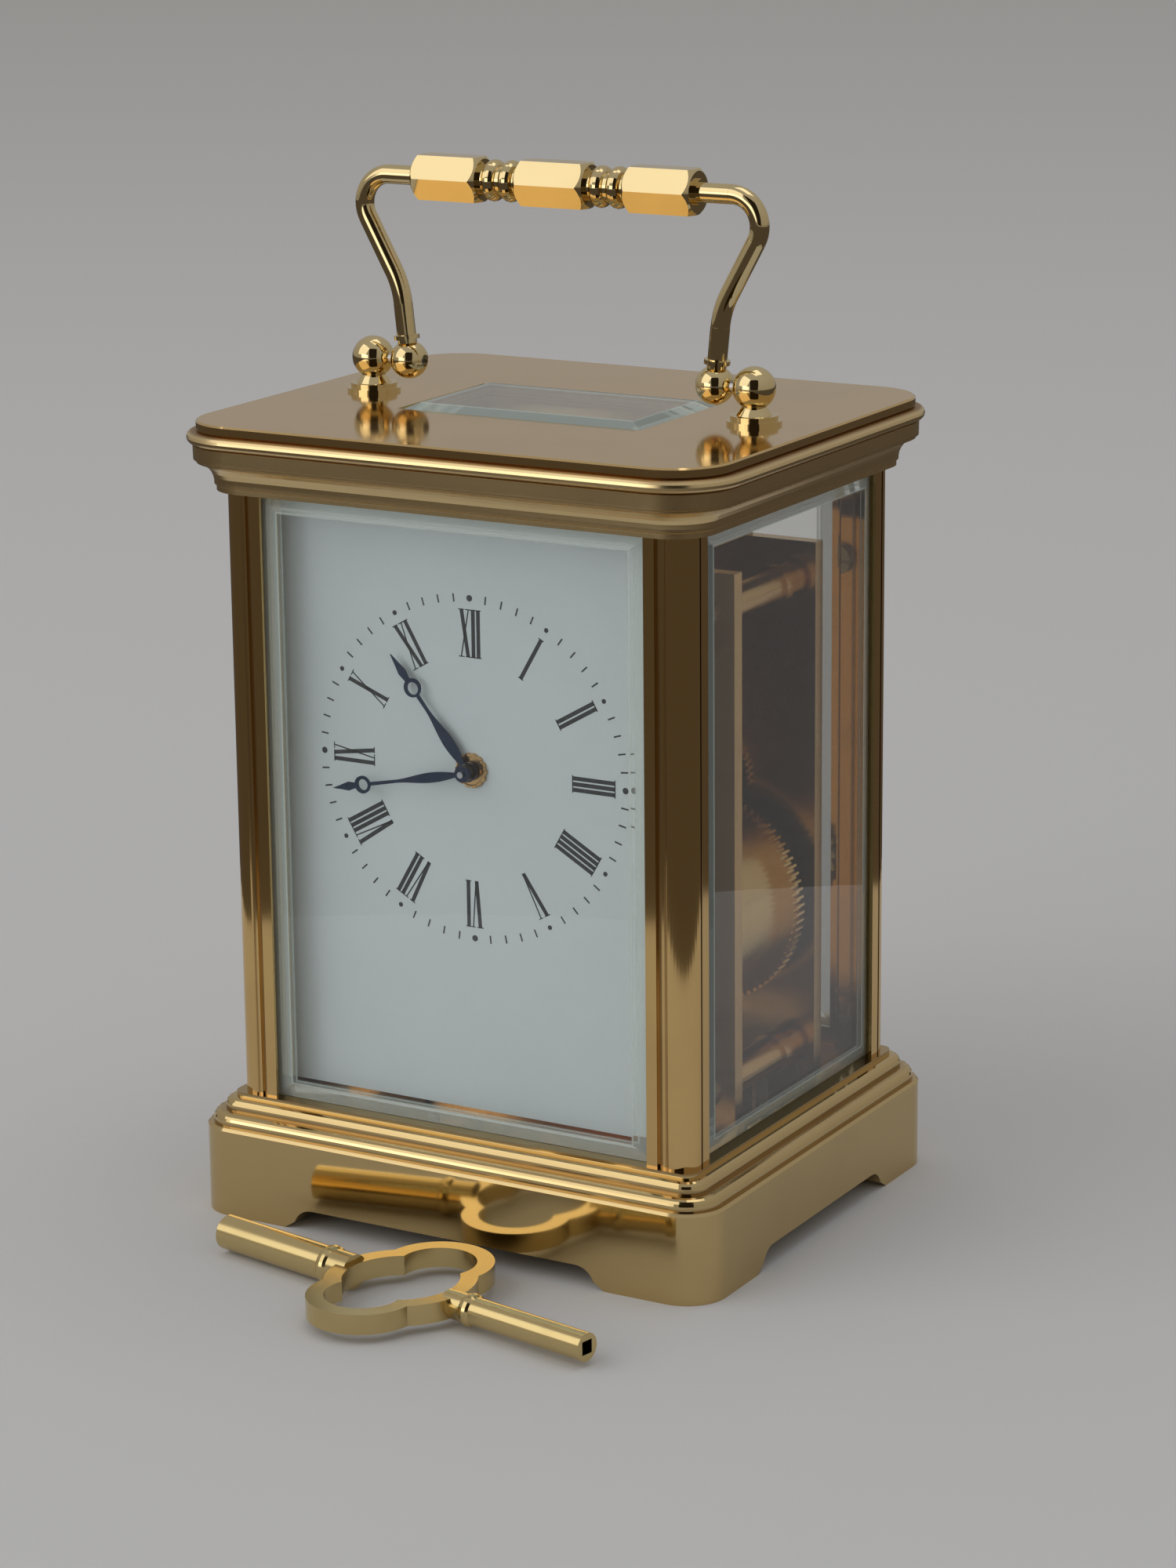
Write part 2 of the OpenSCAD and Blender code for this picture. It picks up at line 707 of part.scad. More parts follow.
module minute_hand() {
    color("midnightblue") difference() {
        union() {
            upright(minute_hand_y, minute_hand_y + hand_t) translate(centre_c) rotate(-minute_angle)
                hand_outline(0.9, 0.69, 0.052, 0.45, 0.06, 0.9);
            rod(centre_c, 1.13, minute_hand_y - 0.15, minute_hand_y + 0.75);
        }
        rod(centre_c, 0.81, minute_hand_y + 0.1, minute_hand_y + 2);
        rod(centre_c, 0.46, minute_hand_y - 1, minute_hand_y + 1);
    }
}

module hour_hand() {
    color("midnightblue") difference() {
        union() {
            upright(hour_hand_y, hour_hand_y + hand_t) translate(centre_c) rotate(-hour_angle)
                hand_outline(0.81, 0.578, 0.056, 0.42, 0.07, 1.2);
            rod(centre_c, 1.38, hour_hand_y - 0.2, hour_hand_y + 0.6);
        }
        rod(centre_c, 1.16, hour_hand_y - 1, hour_hand_y + 2);
    }
}

module cannon_pinion() {
    color("silver") difference() {
        union() {
            rod(centre_c, 0.8, minute_hand_y + 0.11, front_plate_y - 1.6);
            gear(centre_c, cannon_leaves, cannon_module, leaf_add, leaf_ded,
                heading(centre_c, minute_c) + 180 / cannon_leaves, -13, -11);
        }
        rod(centre_c, 0.5, -40, 0);
    }
}

module minute_wheel() {
    color("goldenrod") difference() {
        union() {
            gear(minute_c, minute_teeth, cannon_module, wheel_add,
                wheel_ded, heading(minute_c, centre_c), -12.5, -11.6);
            gear(minute_c, minute_leaves, hour_module, leaf_add, leaf_ded,
                heading(minute_c, centre_c) + 180 / minute_leaves, -15.3, -12.5);
        }
        rod(minute_c, 0.6 + run, -40, 0);
    }
}

module hour_wheel() {
    color("goldenrod") difference() {
        union() {
            gear(centre_c, hour_teeth, hour_module, wheel_add,
                wheel_ded, heading(centre_c, minute_c), -15, -14);
            rod(centre_c, 1.15, hour_hand_y - 0.2, -14);
        }
        rod(centre_c, 0.85, -40, 0);
    }
}

// Holes for the arbors that both plates carry
module arbor_holes() {
    rod(barrel_c, barrel_arbor_r + run, -20, 20);
    for (c = [inter_c, third_c, contrate_c]) rod(c, pivot_r + run, -20, 20, 32);
    rod(centre_c, 1 + run, -20, 20);
    for (s = [-1, 1], z = [pillar_low, pillar_high]) rod([s * pillar_x, z], 1.25, -20, 20, 32);
}

module movement_plate(from, to) {
    difference() {
        box([-plate_w / 2, from, floor_z], [plate_w / 2, to, plate_top]);
        box([-18, from - 1, floor_z - 1], [18, to + 1, floor_z + 5]);
        arbor_holes();
        for (s = [-1, 1]) translate([s * 17, (from + to) / 2, plate_top])
            cylinder(9, r = 0.72, center = true, $fn = 32);
    }
}

module front_plate() {
    color("peru") {
        movement_plate(front_plate_y, front_in);
        rod(minute_c, 0.6, -16, front_plate_y + 1);
    }
}

module rear_plate() {
    color("peru") {
        movement_plate(rear_in, rear_plate_y);
        rod(click_c, 0.8, rear_plate_y - 1, ratchet_y + ratchet_t + 0.3, 32);
    }
}

module movement_pillars() {
    color("goldenrod") for (s = [-1, 1], z = [pillar_low, pillar_high]) difference() {
        union() {
            rod([s * pillar_x, z], 2.5, front_in, rear_in);
            rod([s * pillar_x, z], 3, rear_in - 4.5, rear_in - 2.6);
            rod([s * pillar_x, z], 3, front_in + 1.2, front_in + 2.6);
        }
        rod([s * pillar_x, z], 1.22, front_in - 1, front_in + 5, 32);
        rod([s * pillar_x, z], 1.22, rear_in - 5, rear_in + 1, 32);
        if (z == pillar_low) at_movement_screws() cylinder(pillar_low, r = screw_r + fit, $fn = 32);
    }
}

module pillar_screws() {
    color("dimgray") for (s = [-1, 1], z = [pillar_low, pillar_high]) translate([s * pillar_x, 0, z]) {
        translate([0, front_plate_y, 0]) rotate([90, 0, 0]) screw(1.2, plate_t + 4.5, 2.2, 1.3);
        translate([0, rear_plate_y, 0]) rotate([-90, 0, 0]) screw(1.2, plate_t + 4.5, 2.2, 1.3);
    }
}

module movement_screws() {
    color("dimgray") at_movement_screws() translate([0, 0, floor_z - floor_t]) mirror([0, 0, 1])
        screw(screw_r, 8, head_r, 1.6);
}

// Barrel: great wheel with its drum
module barrel() {
    color("goldenrod") difference() {
        union() {
            gear(barrel_c, great_teeth, great_module, wheel_add,
                wheel_ded, heading(barrel_c, inter_c), drum_back, great_back);
            rod(barrel_c, drum_r, drum_front, drum_back, 96);
        }
        rod(barrel_c, drum_r - 0.9, drum_front - 1, drum_back - 0.2, 96);
        rod(barrel_c, barrel_arbor_r + run, -20, 20);
    }
}

module barrel_cover() {
    color("goldenrod") difference() {
        rod(barrel_c, drum_r - 0.1, drum_front - 0.8, drum_front, 96);
        rod(barrel_c, barrel_arbor_r + run, -20, 20);
    }
}

// A flat strip wound into a spiral from one radius to another
function spiral(r0, r1, turns, steps) =
    [for (i = [0 : turns * steps]) let (a = i * 360 / steps,
        r = r0 + (r1 - r0) * i / (turns * steps)) r * [cos(a), sin(a)]];
function reversed(p) = [for (i = [len(p) - 1 : -1 : 0]) p[i]];
module spiral_strip(r0, r1, turns, steps, t) {
    polygon(concat(spiral(r0, r1, turns, steps), reversed(spiral(r0 + t, r1 + t, turns, steps))));
}

module mainspring() {
    color("slategray") upright(drum_front + 0.8, drum_back - 1) translate(barrel_c)
        spiral_strip(arbor_core_r + 0.4, drum_r - 1.6, 7, 20, 0.4);
}

module barrel_arbor() {
    color("silver") {
        rod(barrel_c, barrel_arbor_r, front_plate_y, rear_plate_y);
        rod(barrel_c, arbor_core_r, drum_front + 0.6, drum_back - 0.8);
        upright(rear_plate_y, 25.5) translate(barrel_c) square(wind_square, center = true);
    }
}

// Ratchet wheel with saw teeth
module ratchet_wheel() {
    step = 360 / ratchet_teeth;
    color("silver") difference() {
        upright(ratchet_y, ratchet_y + ratchet_t) translate(barrel_c)
            polygon([for (k = [0 : ratchet_teeth - 1], p = [[ratchet_r - 0.9, 0], [ratchet_r, 0.12]])
                p[0] * [cos((k + p[1]) * step), sin((k + p[1]) * step)]]);
        upright(0, 40) translate(barrel_c) square(wind_square + 0.02, center = true);
    }
}

// Click, held just clear of the tooth tips as it is when it rides over one
module click() {
    to_ratchet = heading(click_c, barrel_c);
    reach = norm(barrel_c - click_c) - ratchet_r - 0.15;
    color("silver") upright(ratchet_y, ratchet_y + ratchet_t) translate(click_c) difference() {
        union() {
            circle(1.7, $fn = 40);
            rotate(to_ratchet) polygon([[-0.5, -1.4], [reach * 0.75, -1.1], [reach, 0.1], [reach * 0.7,
                1], [0, 1.5]]);
        }
        circle(0.8 + run, $fn = 32);
    }
}

// Curved spring that presses on the click, screwed to the plate at its foot
module click_spring() {
    foot = click_c + [10.5, 4.5];
    bow = click_c + [11.28, -5.46];
    color("steelblue") {
        upright(ratchet_y, ratchet_y + 1) {
            translate(foot) circle(1.6, $fn = 32);
            polygon(concat(arc(bow, 9, 88, 156, 10), arc(bow, 8.5, 156, 88, 10)));
        }
        rod(foot, 0.9, rear_plate_y, ratchet_y + 1.6, 24);
    }
}

// A pivoted arbor running in both plates
module arbor(c) {
    rod(c, arbor_r, front_in + 0.1, rear_in - 0.1);
    rod(c, pivot_r, front_plate_y + 0.1, rear_plate_y - 0.1, 32);
}

module intermediate_wheel() {
    color("goldenrod") {
        arbor(inter_c);
        gear(inter_c, inter_leaves, great_module, leaf_add, leaf_ded, heading(inter_c,
            barrel_c) + 180 / inter_leaves, 8.7, 11.7);
        wheel_rim(inter_c, inter_teeth, inter_module, heading(inter_c, centre_c), 12.5, 13.7, 3);
    }
}

// Centre wheel and its pinion on one pipe, held on the centre arbor by friction
module centre_wheel() {
    color("goldenrod") difference() {
        union() {
            wheel_rim(centre_c, centre_teeth, centre_module, heading(centre_c, third_c), 4, 5.1, 3);
            rod(centre_c, 1.4, 3.5, 12.2);
            gear(centre_c, centre_leaves, inter_module, leaf_add, leaf_ded,
                heading(centre_c, inter_c) + 180 / centre_leaves, 12.1, 14.1);
        }
        rod(centre_c, 1.01, 0, 20);
    }
}

// Centre arbor, free to slip in the centre wheel, with the hands' seat in front
// and the setting square behind
module centre_arbor() {
    color("silver") {
        rod(centre_c, 0.45, -27.3, front_plate_y);
        rod(centre_c, 1, front_plate_y, rear_plate_y);
        upright(rear_plate_y, 24.5) translate(centre_c) square(set_square, center = true);
    }
}

module third_wheel() {
    color("goldenrod") {
        arbor(third_c);
        gear(third_c, third_leaves, centre_module, leaf_add, leaf_ded, heading(third_c,
            centre_c) + 180 / third_leaves, 3.4, 5.7);
        wheel_rim(third_c, third_teeth, third_module, heading(third_c, contrate_c), -1, 0, 2.4);
    }
}

// Contrate wheel, whose teeth stand forward from the rim
module contrate_wheel() {
    color("goldenrod") {
        arbor(contrate_c);
        gear(contrate_c, contrate_leaves, third_module, leaf_add, leaf_ded,
            heading(contrate_c, third_c) + 180 / contrate_leaves, -2, 1);
        difference() {
            rod(contrate_c, contrate_r + 0.4, contrate_disc, contrate_disc + 0.8, 96);
            upright(0, 20) translate(contrate_c) spoke_gaps(contrate_r - 1.4, 2);
        }
        upright(contrate_disc - contrate_tooth, contrate_disc + 0.1) translate(contrate_c)
            for (k = [0 : contrate_teeth - 1]) rotate(90 + (k + 0.5) * 360 / contrate_teeth)
                translate([contrate_r - 0.4, -0.1]) square([0.8, 0.2]);
    }
}

module platform() {
    color("gold") difference() {
        box([-20, front_plate_y, platform_z], [20, rear_plate_y, platform_top]);
        for (x = [-17, 17], y = [front_plate_y, rear_in]) translate([x, y + plate_t / 2, 0])
            cylinder(case_h, r = 0.72, $fn = 32);
        translate([escape_x, escape_y, 0]) cylinder(case_h, r = 1.4, $fn = 32);
        translate([lever_c[0], lever_c[1], 0]) cylinder(case_h, r = 0.3 + run, $fn = 32);
        translate([balance_c[0], balance_c[1], 0]) cylinder(case_h, r = 0.3 + run, $fn = 32);
    }
}

module platform_screws() {
    color("royalblue") for (x = [-17, 17], y = [front_plate_y, rear_in])
        translate([x, y + plate_t / 2, platform_top])
        screw(0.7, 4.5, 1.4, 0.8);
}

// Bracket under the platform for the lower pivot of the escape arbor
module potence() {
    color("gold") difference() {
        union() {
            box([escape_x - 1.4, escape_y - 5, 84.2], [escape_x + 1.4, escape_y + 0.9, 85.6]);
            box([escape_x - 1.4, escape_y - 5, 85.5], [escape_x + 1.4, escape_y - 3, platform_z]);
        }
        translate([escape_x, escape_y, 80]) cylinder(10, r = 0.25 + run, $fn = 24);
    }
}

// Escape wheel with fifteen pointed teeth, its arbor and its seven-leaf pinion
module escape_wheel() {
    r = escape_wheel_r;
    color("gold") translate([escape_x, escape_y, 0]) {
        translate([0, 0, escape_wheel_z]) linear_extrude(0.4) difference() {
            polygon([for (k = [0 : 14], p = [[0.76, 0], [1, 0.62], [1, 0.74], [0.78, 0.7]])
                p[0] * r * [cos((k + p[1]) * 24), sin((k + p[1]) * 24)]]);
            spoke_gaps(r * 0.62, 0.9, 4, 0.5);
        }
        translate([0, 0, 85.7]) cylinder(escape_wheel_z + 1.1 - 85.7, r = 0.4, $fn = 32);
        translate([0, 0, 84.4]) cylinder(escape_wheel_z + 2 - 84.4, r = 0.25, $fn = 24);
        translate([0, 0, contrate_z + contrate_r - 1]) linear_extrude(2.2) escape_pinion();
    }
}

module escape_pinion() {
    circle(escape_r - 0.25, $fn = 32);
    for (k = [0 : escape_leaves - 1]) rotate(90 + k * 360 / escape_leaves)
        translate([0, -0.1]) square([escape_r + 0.18, 0.2]);
}

// Bridge over the escape wheel and lever pivots
module escape_bridge() {
    low = escape_wheel_z + 1.2;
    color("gold") difference() {
        union() {
            box([escape_x - 1.3, escape_y - 1.3, low], [escape_x + 1.3, escape_y + 8.5, low + 0.6]);
            box([escape_x - 1.3, escape_y + 5.5, platform_top], [escape_x + 1.3, escape_y + 8.5,
                low + 0.6]);
            translate([0, 0, low]) linear_extrude(0.6) hull() {
                translate([escape_x, escape_y + 6]) circle(1.2, $fn = 24);
                translate(lever_c) circle(1, $fn = 24);
            }
        }
        translate([escape_x, escape_y, 0]) cylinder(case_h, r = 0.25 + run, $fn = 24);
        translate([lever_c[0], lever_c[1], 0]) cylinder(case_h, r = 0.3 + run, $fn = 24);
    }
}

// Lever with its fork and two pallets, set just clear of the wheel's tips
module lever() {
    color("silver") translate([lever_c[0], lever_c[1], 0]) {
        translate([0, 0, escape_wheel_z - 0.05]) linear_extrude(0.5) rotate(line_angle) {
            circle(0.9, $fn = 32);
            translate([0, -0.3]) square([5, 0.6]);
            for (s = [-1, 1]) {
                translate([4.9, s * 0.45 - 0.15]) square([1, 0.3]);
                polygon([[0.3, 0], [-1.75, s * 1.95], [-1.75, s * 2.35], [-0.6, s * 2.35]]);
            }
            translate([4.6, -0.6]) square([0.5, 1.2]);
        }
        translate([0, 0, platform_top - 1.2]) cylinder(4, r = 0.3, $fn = 24);
    }
}

module balance_wheel() {
    color("goldenrod") translate([balance_c[0], balance_c[1], 0]) {
        translate([0, 0, balance_z]) difference() {
            cylinder(0.9, r = balance_r, $fn = 72);
            translate([0, 0, -1]) linear_extrude(3) spoke_gaps(balance_r - 0.9, 1.1, 2, 0.9);
        }
        for (k = [0 : 9]) rotate(18 + k * 36) translate([balance_r - 0.1, 0, balance_z + 0.45])
            rotate([0, 90, 0]) cylinder(0.7, r = 0.4, $fn = 20);
        translate([0, 0, platform_top - 1.2]) cylinder(cock_z + 2.1 - platform_top, r = 0.3, $fn = 24);
        translate([0, 0, platform_top + 0.3]) cylinder(cock_z - platform_top - 0.6, r = 0.5, $fn = 32);
        translate([0, 0, platform_top + 2.1]) cylinder(0.4, r = 0.9, $fn = 32);
    }
}

module hairspring() {
    color("steelblue") translate([balance_c[0], balance_c[1], balance_z + 1.6]) linear_extrude(0.3)
        spiral_strip(0.48, 3.6, 6, 18, 0.12);
}

// Balance cock: foot on the platform and an arm out to the top pivot
module balance_cock() {
    foot_x = balance_c[0] + 8.3;
    color("gold") difference() {
        union() {
            box([foot_x, balance_c[1] - 3, platform_top], [foot_x + 3.6, balance_c[1] + 3, cock_z + 1]);
            box([balance_c[0], balance_c[1] - 1.4, cock_z], [foot_x + 1, balance_c[1] + 1.4, cock_z + 1]);
            translate([balance_c[0], balance_c[1], cock_z]) cylinder(1, r = 2, $fn = 40);
        }
        translate([balance_c[0], balance_c[1], 0]) cylinder(case_h, r = 0.3 + run, $fn = 24);
    }
}

// Regulator index, turning about the top pivot
module regulator() {
    color("silver") translate([balance_c[0], balance_c[1], cock_z + 1.05])
        linear_extrude(0.35) difference() {
        union() {
            circle(1.5, $fn = 40);
            polygon([[-0.6, 0], [-0.2, -7.5], [0.2, -7.5], [0.6, 0]]);
        }
        circle(0.5, $fn = 24);
    }
}

// Bow outline: a middle ring with a round lobe on each side
module bow_outline(shrink) {
    circle(bow_r - shrink, $fn = 80);
    for (s = [-1, 1]) translate([0, s * 7.4]) circle(lobe_r - shrink, $fn = 64);
}

// A pipe with a collar near its root and a square hole in its end
module pipe(r, l, hole) {
    difference() {
        union() {
            cylinder(l, r = r, $fn = 48);
            translate([0, 0, 4.2]) bead(r + collar, 2.6);
        }
        translate([-hole / 2, -hole / 2, l - 11]) cube([hole, hole, 12]);
    }
}

// Double-ended key lying in front of the clock: large pipe winds, small pipe sets
module key() {
    root = bow_r - 1.7;
    rest = pipe_big_r + collar;
    color("gold") translate([key_c[0], key_c[1], rest]) rotate(key_turn) {
        translate([0, 0, -bow_t / 2]) linear_extrude(bow_t) difference() {
            bow_outline(0);
            bow_outline(bow_wall);
        }
        translate([-root, 0, 0]) rotate([0, -90, 0]) pipe(pipe_big_r, key_l / 2 - root, wind_square + 0.1);
        translate([root, 0, 0]) rotate([0, 90, 0]) pipe(pipe_small_r, key_l / 2 - root, set_square + 0.1);
    }
}

base();
base_screws();
pillar_front_left();
pillar_front_right();
pillar_rear_left();
pillar_rear_right();
cornice();
cornice_screws();
top_plate();
top_glass();
front_glass();
left_glass();
right_glass();
handle_post_left();
handle_post_right();
handle_post_nuts();
handle_pins();
handle_arm_left();
handle_arm_right();
handle_grip();
door_frame();
door_glass();
door_knob();
door_pins();
dial();
dial_bush();
dial_feet();
minute_hand();
hour_hand();
cannon_pinion();
minute_wheel();
hour_wheel();
front_plate();
rear_plate();
movement_pillars();
pillar_screws();
movement_screws();
barrel();
barrel_cover();
mainspring();
barrel_arbor();
ratchet_wheel();
click();
click_spring();
intermediate_wheel();
centre_wheel();
centre_arbor();
third_wheel();
contrate_wheel();
platform();
platform_screws();
potence();
escape_wheel();
escape_bridge();
lever();
balance_wheel();
hairspring();
balance_cock();
regulator();
key();
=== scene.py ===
import math
import bmesh
import bpy
import numpy as np
from mathutils import Euler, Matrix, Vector


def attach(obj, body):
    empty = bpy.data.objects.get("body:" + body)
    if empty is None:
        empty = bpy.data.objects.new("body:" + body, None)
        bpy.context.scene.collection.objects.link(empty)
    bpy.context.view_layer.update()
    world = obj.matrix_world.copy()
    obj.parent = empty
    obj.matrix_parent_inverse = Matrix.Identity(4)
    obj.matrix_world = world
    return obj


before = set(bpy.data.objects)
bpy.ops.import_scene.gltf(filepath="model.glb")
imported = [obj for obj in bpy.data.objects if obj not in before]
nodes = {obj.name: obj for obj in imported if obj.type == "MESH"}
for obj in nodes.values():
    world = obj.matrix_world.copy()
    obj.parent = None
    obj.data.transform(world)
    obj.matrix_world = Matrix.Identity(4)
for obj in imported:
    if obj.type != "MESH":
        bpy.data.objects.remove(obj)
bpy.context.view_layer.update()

mm = 0.001
scratchDepth = 0.01 * mm
print("frame loaded:", len(nodes), "nodes")


# A socket that does arithmetic: each expression adds Math nodes to its recipe
class Value:
    def __init__(self, recipe, socket):
        self.recipe, self.socket = recipe, socket

    def __add__(self, other):
        return self.recipe.calc("ADD", self, other)

    def __radd__(self, other):
        return self.recipe.calc("ADD", other, self)

    def __sub__(self, other):
        return self.recipe.calc("SUBTRACT", self, other)

    def __rsub__(self, other):
        return self.recipe.calc("SUBTRACT", other, self)

    def __mul__(self, other):
        return self.recipe.calc("MULTIPLY", self, other)

    def __rmul__(self, other):
        return self.recipe.calc("MULTIPLY", other, self)

    def __pow__(self, other):
        return self.recipe.calc("POWER", self, other)

    def __abs__(self):
        return self.recipe.calc("ABSOLUTE", self)

    def clamp(self):
        return self.recipe.calc("ADD", self, 0.0, use_clamp=True)


# One material being written: nodes, links and the fields that finishes share
class Recipe:
    def __init__(self, name):
        self.material = bpy.data.materials.new(name)
        self.material.use_nodes = True
        self.tree = self.material.node_tree
        self.tree.nodes.clear()
        self.output = self.add("ShaderNodeOutputMaterial")
        self.place = self.add("ShaderNodeTexCoord").outputs["Object"]
        split = self.add("ShaderNodeSeparateXYZ", inputs={0: self.place})
        self.x, self.y, self.z = (Value(self, split.outputs[i]) for i in range(3))

    # Any node: its settings first, then numbers, colours or links for its sockets
    def add(self, kind, settings=None, inputs=None):
        node = self.tree.nodes.new(kind)
        for key, setting in (settings or {}).items():
            setattr(node, key, setting)
        for key, item in (inputs or {}).items():
            self.feed(node.inputs[key], item)
        return node

    def feed(self, socket, item):
        if isinstance(item, Value):
            item = item.socket
        if isinstance(item, bpy.types.NodeSocket):
            self.tree.links.new(item, socket)
        else:
            socket.default_value = item

    def calc(self, operation, *items, use_clamp=False):
        node = self.add("ShaderNodeMath", {"operation": operation, "use_clamp": use_clamp},
                        dict(enumerate(items)))
        return Value(self, node.outputs[0])

    # Noise on the piece's own coordinates, with one scale per axis, in features per metre
    def noise(self, scale, detail=3.0, rough=0.5, shift=(0, 0, 0)):
        scale = scale if isinstance(scale, tuple) else (scale,) * 3
        mapped = self.add("ShaderNodeMapping", {"vector_type": "POINT"},
                          {"Vector": self.place, "Location": shift, "Scale": scale})
        node = self.add("ShaderNodeTexNoise", {"noise_dimensions": "3D"},
                        {"Vector": mapped.outputs[0], "Scale": 1.0, "Detail": detail, "Roughness": rough})
        return Value(self, node.outputs["Fac"])

    # 1 at the middle of a band, falling in a straight line to 0 at its edges
    def band(self, along, middle, half):
        return (1.0 - abs(along - middle) * (1.0 / half)).clamp()

    def ramp(self, value, low, high):
        return ((value - low) * (1.0 / (high - low))).clamp()

    def blend(self, factor, first, second):
        node = self.add("ShaderNodeMix", {"data_type": "RGBA"})
        for socket, item in ((node.inputs[0], factor), (node.inputs[6], first), (node.inputs[7], second)):
            self.feed(socket, item)
        return node.outputs[2]

    def bump(self, height, strength, distance):
        return self.add("ShaderNodeBump", inputs={"Height": height, "Strength": strength,
                                                  "Distance": distance}).outputs[0]

    def principled(self, inputs):
        node = self.add("ShaderNodeBsdfPrincipled", inputs=inputs)
        self.tree.links.new(node.outputs[0], self.output.inputs[0])
        return node


def rgb(r, g, b):
    return (r, g, b, 1.0)


def linked(name, data):
    made = bpy.data.objects.new(name, data)
    bpy.context.scene.collection.objects.link(made)
    return made


# Brass: bright metal, browner where tarnish gathers and with painted shade in the grooves. The brown mask is
# slow tarnish noise plus specks plus a painted-shade band along each groove; roughness is a base amount plus
# the cloud, the polishing lines and that tarnish-and-shade mask, and a little more below the height where
# satin begins.
def brass(name, look):
    r = Recipe(name)
    cloud = r.noise(look["cloudScale"], 3.0, 0.55)
    lines = r.noise(look["lineScale"], 2.0, 0.5, (3.1, 1.7, 0.4))
    specks = r.ramp(r.noise(1500.0, 2.0, 0.5, (7.0, 2.0, 5.0)), 0.68, 0.8)
    tarnishAndGrooveShade = r.ramp(cloud, 0.5, 0.85) * look["tarnish"] + specks * look["specks"]
    # Painted shade: a band of the dark colour along each groove
    for axis, middle, half, amount in look["shadedGrooves"]:
        along = {"x": abs(r.x), "y": abs(r.y), "z": r.z}[axis]
        tarnishAndGrooveShade = tarnishAndGrooveShade + r.band(along, middle * mm, half * mm) * amount
    tarnishAndGrooveShade = tarnishAndGrooveShade.clamp()
    rough = look["rough"] + cloud * look["roughCloud"] + lines * look["roughLines"] + tarnishAndGrooveShade * look["roughTarnishAndShade"]
    if "satinBelow" in look:
        high, low = look["satinBelow"], look["satinBelow"] - look["satinStep"]
        rough = rough + r.ramp(r.z, high * mm, low * mm) * look["satinRough"]
    r.principled({"Base Color": r.blend(tarnishAndGrooveShade, look["colour"], look["dark"]), "Metallic": 1.0,
                  "Roughness": rough.clamp(), "Normal": r.bump(lines, look["bump"], scratchDepth)})
    return r.material


polish = {"colour": rgb(0.80, 0.60, 0.27), "dark": rgb(0.24, 0.13, 0.05), "lineScale": (900.0, 900.0, 60.0),
          "cloudScale": 60.0, "tarnish": 0.1, "specks": 0.05, "rough": 0.06, "roughCloud": 0.04,
          "roughLines": 0.02, "roughTarnishAndShade": 0.2, "bump": 0.02, "shadedGrooves": []}
# Groove entries (axis, middle and half width in mm, amount) paint shade in the dark colour along each groove
baseLook = {**polish, "colour": rgb(0.62, 0.46, 0.22), "rough": 0.03, "lineScale": (60.0, 60.0, 2600.0),
            "satinBelow": 13.2, "satinStep": 0.2, "satinRough": 0.02, "bump": 0.02, "roughLines": 0.015,
            "shadedGrooves": [("z", 15.05, 0.45, 0.7), ("z", 13.2, 0.35, 0.5), ("z", 17.1, 0.3, 0.6)]}
corniceLook = {**polish, "colour": rgb(0.74, 0.56, 0.29), "lineScale": (60.0, 60.0, 1500.0), "rough": 0.21,
               "shadedGrooves": [("z", 108.5, 0.4, 0.6), ("z", 110.8, 0.35, 0.7), ("z", 112.5, 0.25, 0.9),
                           ("z", 105.0, 0.35, 0.5)]}
pillarLook = {**polish, "colour": rgb(0.74, 0.50, 0.21), "tarnish": 0.16, "rough": 0.05,
              "shadedGrooves": [("x", 32.05, 0.45, 0.9), ("x", 33.0, 0.25, 0.7), ("y", 26.85, 0.25, 0.8)]}
plateLook = {**polish, "colour": rgb(0.71, 0.49, 0.22), "lineScale": (60.0, 1400.0, 1400.0), "rough": 0.065,
             "roughCloud": 0.03, "roughLines": 0.02, "bump": 0.03, "tarnish": 0.12}
handleLook = {**polish, "colour": rgb(0.72, 0.57, 0.30), "rough": 0.035, "roughCloud": 0.02,
              "roughLines": 0.01, "bump": 0.006, "tarnish": 0.06, "specks": 0.03}
keyLook = {**polish, "colour": rgb(0.66, 0.51, 0.24), "rough": 0.13, "tarnish": 0.3, "bump": 0.08,
           "lineScale": (300.0, 300.0, 300.0)}
workLook = {**polish, "colour": rgb(0.66, 0.42, 0.18), "dark": rgb(0.24, 0.09, 0.04), "rough": 0.14,
            "roughLines": 0.06, "tarnish": 0.4, "lineScale": (60.0, 60.0, 1400.0), "bump": 0.06}
wheelLook = {**polish, "colour": rgb(0.74, 0.50, 0.20), "rough": 0.16, "tarnish": 0.2, "roughLines": 0.05,
             "lineScale": (900.0, 60.0, 900.0), "bump": 0.06}
giltLook = {**polish, "colour": rgb(0.86, 0.64, 0.30), "rough": 0.26, "lineScale": (1800.0,) * 3, "bump": 0.1}


# Steel: grey or heat-blued, drifting slowly between a colour and a tint, with fine turning lines
def steel(name, colour, tint, rough, lineScale=(900.0, 900.0, 900.0)):
    r = Recipe(name)
    cloud = r.noise(260.0, 3.0, 0.6)
    lines = r.noise(lineScale, 2.0, 0.5)
    shade = r.blend(r.ramp(cloud, 0.35, 0.75), colour, tint)
    r.principled({"Base Color": shade, "Metallic": 1.0,
                  "Roughness": (rough + cloud * 0.1 + lines * 0.08).clamp(),
                  "Normal": r.bump(lines, 0.08, scratchDepth)})
    return r.material
